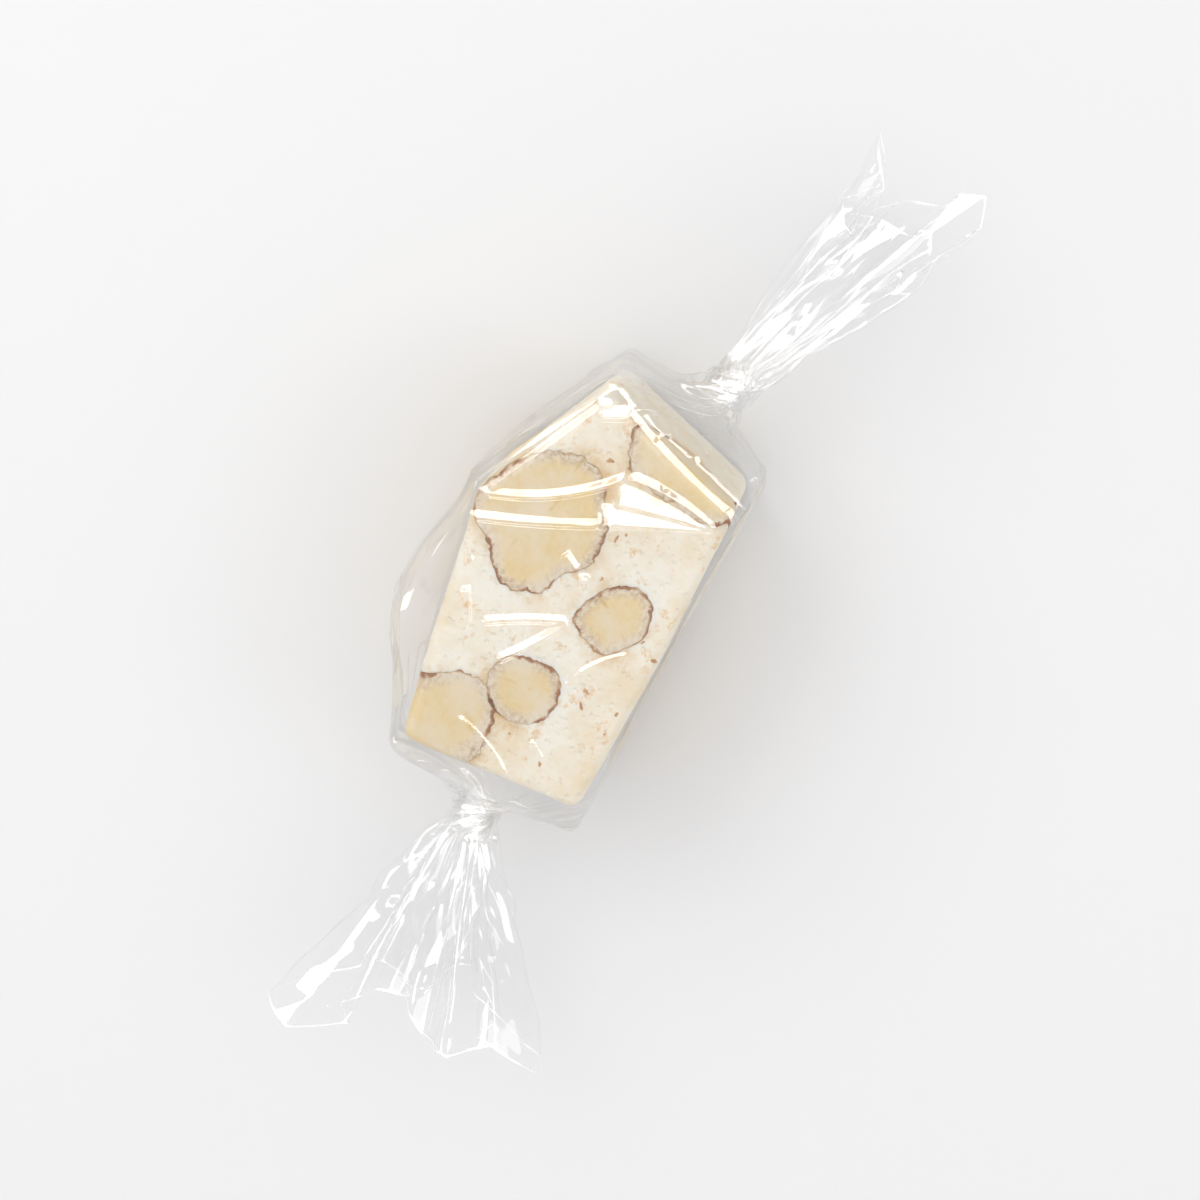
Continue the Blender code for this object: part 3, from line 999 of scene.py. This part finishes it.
def fan_row(fan, share, angle):
    """A row of the free end, opening from the neck in pleats."""
    wall, outward = fan["wall"], fan["outward"]
    forward, _ = axes(wall["heading"])
    run, left = axes(fan["heading"])
    neck_end = np.array((*wall["centre"], FILM_MIDDLE)) + forward * (GATHER_LENGTH + NECK_LENGTH) * outward
    facing = angle + TWIST * outward
    longest = fan["length"] + max(extra for _, extra, _ in fan["points"])
    along = share * fan_lengths(facing, fan)
    opened = (along / longest) ** FAN_OPENING
    sideways = mix(NECK_RADIUS, np.where(np.cos(facing) > 0, fan["left"], fan["right"]), opened)
    upright = mix(NECK_RADIUS, np.where(np.sin(facing) > 0, fan["up"], fan["down"]), opened)
    radius = 1 / np.hypot(np.cos(facing) / sideways, np.sin(facing) / upright)
    fold = pleats(angle) + 0.12 * (1 - share) ** 4 * zigzag(FINE_PLEATS * angle)
    radius *= 1 + mix(NECK_PLEAT / NECK_RADIUS, FAN_PLEAT, eased(share)) * fold
    points = neck_end + run * (along * outward)[:, None] + left * (radius * np.cos(facing))[:, None]
    points[:, 2] += radius * np.sin(facing)
    return points


def column_angles():
    """The columns' angles round the bar, closer together over the shown face than elsewhere."""
    angle = SEAM_ANGLE + np.linspace(0, 2 * math.pi + SHEET_LAP, 10 * SHEET_COLUMNS)
    dense = np.where(np.abs(angle - math.pi / 2) < math.pi / 4, TOP_COLUMN_DENSITY, 1.0)
    share = np.cumsum(dense) - dense[0]
    return np.interp(np.linspace(0, share[-1], SHEET_COLUMNS + 1), share, angle)


def sheet_rows(angle):
    """Every row of the sheet, from the tail's free edge to the head's."""
    fan_shares = np.linspace(1, 0, FAN_ROWS, endpoint=False)
    twist_shares = np.linspace(1, 0, TWIST_ROWS, endpoint=False)
    rows = [fan_row(TAIL_FAN, share, angle) for share in fan_shares]
    rows += [twist_row(TAIL_FAN, share, angle) for share in twist_shares]
    for start, end, count in ((TAIL_WALL, SHOULDER, TAIL_BODY_ROWS), (SHOULDER, HEAD_WALL, HEAD_BODY_ROWS)):
        body_shares = np.linspace(0, 1, count, endpoint=False)
        rows += [body_row(start, end, share, angle) for share in body_shares]
    rows += [twist_row(HEAD_FAN, share, angle) for share in (1 - twist_shares)]
    rows += [fan_row(HEAD_FAN, share, angle) for share in (1 - fan_shares)]
    rows.append(fan_row(HEAD_FAN, 1.0, angle))
    return np.array(rows)


def sheet_normals(points):
    along = np.gradient(points, axis=0)
    around = np.gradient(points, axis=1)
    normals = np.cross(around, along)
    return normals / np.maximum(np.linalg.norm(normals, axis=2, keepdims=True), 1e-9)


def tent(across, left_width, right_width):
    """A crease's section: two straight flanks that meet in a crest rounded by CREST."""
    width = np.where(across > 0, left_width, right_width)
    return np.maximum(0.0, 1 - (np.hypot(across, CREST) - CREST) / width)


def crease(x, y, start, end, height, left_width, right_width, bow=0.0, taper=0.0):
    """The height that one crease from start to end adds at each (x, y), run out at its ends."""
    run = np.subtract(end, start)
    length = float(np.hypot(*run))
    share = ((x - start[0]) * run[0] + (y - start[1]) * run[1]) / length**2
    across = ((y - start[1]) * run[0] - (x - start[0]) * run[1]) / length
    across = across - bow * 4 * share * (1 - share)
    left = 1 - taper * np.clip(share, 0, 1)
    run_out = np.clip(np.minimum(share, 1 - share) / CREASE_END, 0, 1)
    return height * left * run_out * tent(across / left, left_width, right_width)


def crossing(middle, heading, half):
    """The two ends of a line through middle."""
    run = (half * math.cos(heading), half * math.sin(heading))
    return (middle[0] - run[0], middle[1] - run[1]), (middle[0] + run[0], middle[1] + run[1])


def crumple(x, y, seed):
    """Flat facets between creases in many directions, as in film that has been scrunched."""
    draw = random.Random(seed)
    total = np.zeros_like(x)
    for size, depth in CRUMPLE_WAVES:
        heading = draw.uniform(0, math.pi)
        lean = x * math.cos(heading) + y * math.sin(heading)
        side = y * math.cos(heading) - x * math.sin(heading)
        wander = 0.22 * size * np.sin(side * draw.uniform(0.5, 0.9) / size * math.pi + draw.uniform(0, 6))
        total += depth * zigzag((lean + wander) * 2 * np.pi / size + draw.uniform(0, 6))
    return total


column_angle = column_angles()
rows = sheet_rows(column_angle)
normals = sheet_normals(rows)
steps = np.linalg.norm(np.diff(rows, axis=0), axis=2).mean(axis=1)
sheet_x = np.repeat(np.concatenate(((0,), np.cumsum(steps)))[:, None], SHEET_COLUMNS + 1, axis=1)
wound = (column_angle - SEAM_ANGLE) / (2 * math.pi + SHEET_LAP)
girth = (2 * math.pi + SHEET_LAP) * SHEET_GIRTH_RADIUS
sheet_y = np.repeat(wound[None, :], len(rows), axis=0) * girth
body_start = FAN_ROWS + TWIST_ROWS
body_end = body_start + TAIL_BODY_ROWS + HEAD_BODY_ROWS
tail_edge = sheet_x[body_start, 0]
head_edge = sheet_x[body_end, 0]
beyond_bar = np.maximum(0, np.maximum(tail_edge - sheet_x, sheet_x - head_edge))
on_bar = np.clip(1 - beyond_bar / BODY_FADE, 0, 1)
in_fan = np.clip((beyond_bar - FAN_START) / FAN_FADE, 0, 1)
on_top = np.clip((normals[:, :, 2] - 0.7) / 0.2, 0, 1) * on_bar
loose = 1 - (1 - TOP_QUIET) * on_top

# Each turn of the sheet lies a little outside the one before, and the whole hangs a little slack
lift = WIND * wound[None, :] * (0.25 + 0.75 * on_bar)
slack_wave = np.sin(sheet_x * 0.83 + 1.3 * np.sin(sheet_y * 0.31)) * np.sin(sheet_y * 0.47 + 0.9)
lift = lift + SLACK_DEPTH * on_bar * slack_wave
lift = lift + in_fan * crumple(sheet_x, sheet_y, FAN_CRUMPLE_SEED)
lift = lift + loose * on_bar * BODY_CRUMPLE * crumple(sheet_x * 0.8, sheet_y * 0.8, BODY_CRUMPLE_SEED)

draw = random.Random(CREASE_SEED)
for edge, inward in ((tail_edge, 1), (head_edge, -1)):
    for number in range(PULLS["count"]):
        at = (number + draw.uniform(0.15, 0.85)) / PULLS["count"] * girth
        reach = draw.uniform(*PULLS["reach"])
        start = (edge - inward * draw.uniform(*PULLS["start"]), at)
        end = (edge + inward * reach, at + draw.uniform(-PULL_SLANT, PULL_SLANT) * reach)
        width = draw.uniform(*PULLS["width"])
        height = draw.uniform(*PULLS["height"])
        lift = lift + loose * crease(sheet_x, sheet_y, start, end, height, width, width * 1.3)
for number in range(SIDES["count"]):
    middle = (draw.uniform(tail_edge, head_edge), draw.uniform(0, girth))
    start, end = crossing(middle, draw.uniform(0, math.pi), draw.uniform(*SIDES["half"]))
    width = draw.uniform(*SIDES["width"])
    height, bow = draw.uniform(*SIDES["height"]), draw.uniform(*SIDES["bow"])
    lift = lift + loose * crease(sheet_x, sheet_y, start, end, height, width, width * 1.6, bow)
for number in range(FANS["count"]):
    out = FAN_START + draw.uniform(*FAN_CREASE_REACH)
    middle = (tail_edge - out if number % 2 else head_edge + out, draw.uniform(0, girth))
    start, end = crossing(middle, draw.uniform(-FAN_SLANT, FAN_SLANT), draw.uniform(*FANS["half"]))
    width = draw.uniform(*FANS["width"])
    height, bow = draw.uniform(*FANS["height"]), draw.uniform(*FANS["bow"])
    lift = lift + in_fan * crease(sheet_x, sheet_y, start, end, height, width, width * 1.5, bow)

# Where two of the shown face's creases meet, the higher one carries on
top_ridges = np.zeros_like(lift)
for top_crease in TOP_CREASES:
    top_ridges = np.maximum(top_ridges, crease(rows[:, :, 0], rows[:, :, 1], *top_crease))
lift = lift + on_top * top_ridges
rows = rows + normals * lift[:, :, None]
rows[:, :, 2] = np.clip(rows[:, :, 2], TABLE_GAP, FILM_TOP)

# The sheet is made as three meshes, which meet in the two twists
film_parts = (
    ("film_tail_end", 0, FAN_ROWS + TWIST_JOIN),
    ("film_round_bar", FAN_ROWS + TWIST_JOIN, len(rows) - 1 - FAN_ROWS - TWIST_JOIN),
    ("film_head_end", len(rows) - 1 - FAN_ROWS - TWIST_JOIN, len(rows) - 1),
)
cut_edge = np.zeros(lift.shape)
cut_edge[[0, -1], :] = 1
cut_edge[:, [0, -1]] = 1
film_pieces = []
for name, first, last in film_parts:
    grid = bmesh.new()
    bmesh.ops.create_grid(grid, x_segments=SHEET_COLUMNS, y_segments=last - first, size=0.5)
    film = add_piece(name, grid, sharp_angle=180)
    flat = np.empty(len(film.data.vertices) * 3)
    film.data.vertices.foreach_get("co", flat)
    flat = flat.reshape(-1, 3) + 0.5
    column = np.rint(flat[:, 0] * SHEET_COLUMNS).astype(int)
    row = first + np.rint(flat[:, 1] * (last - first)).astype(int)
    film.data.vertices.foreach_set("co", (rows[row, column] * MM).ravel())
    film.data.attributes.new("cut_edge", "FLOAT", "POINT").data.foreach_set("value", cut_edge[row, column])
    film.data.update()
    film_pieces.append(film)

# Cellophane: clear, hardly tinted, glossy on both faces, so it shows by what it mirrors, and by its
# cut edges, which scatter light. What its gloss throws on the table isn't traced, so it casts no
# shadow either, and the table stays as bright
cellophane, cellophane_output = new_material("clear_cellophane")
cellophane_clear = add_node(cellophane, "ShaderNodeBsdfTransparent", {"Color": linear("#FEFEFE")})
cellophane_edge = add_node(cellophane, "ShaderNodeAttribute", attribute_name="cut_edge")
cellophane_blur = add_node(
    cellophane,
    "ShaderNodeMapRange",
    {"Value": cellophane_edge.outputs["Fac"], "To Min": 0.05, "To Max": 0.5},
)
cellophane_least = add_node(
    cellophane,
    "ShaderNodeMapRange",
    {"Value": cellophane_edge.outputs["Fac"], "To Min": 0.065, "To Max": 0.6},
)
cellophane_gloss = add_node(
    cellophane,
    "ShaderNodeBsdfAnisotropic",
    {"Color": linear("#FAFAFA"), "Roughness": cellophane_blur.outputs["Result"]},
)
cellophane_facing = add_node(cellophane, "ShaderNodeLayerWeight", {"Blend": 0.5})
cellophane_grazing = add_node(
    cellophane,
    "ShaderNodeMath",
    {0: cellophane_facing.outputs["Facing"], 1: 5.0},
    operation="POWER",
)
cellophane_mirror = add_node(
    cellophane,
    "ShaderNodeMapRange",
    {
        "Value": cellophane_grazing.outputs["Value"],
        "To Min": cellophane_least.outputs["Result"],
        "To Max": 1.0,
    },
)
cellophane_film = add_node(
    cellophane,
    "ShaderNodeMixShader",
    {
        0: cellophane_mirror.outputs["Result"],
        1: cellophane_clear.outputs["BSDF"],
        2: cellophane_gloss.outputs["BSDF"],
    },
)
cellophane_light = add_node(cellophane, "ShaderNodeLightPath")
cellophane_mix = add_node(
    cellophane,
    "ShaderNodeMixShader",
    {
        0: cellophane_light.outputs["Is Shadow Ray"],
        1: cellophane_film.outputs["Shader"],
        2: cellophane_clear.outputs["BSDF"],
    },
)
connect(cellophane, cellophane_mix.outputs["Shader"], cellophane_output, "Surface")
for film in film_pieces:
    film.data.materials.append(cellophane)
    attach(film, "root")
    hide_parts("wrapper")
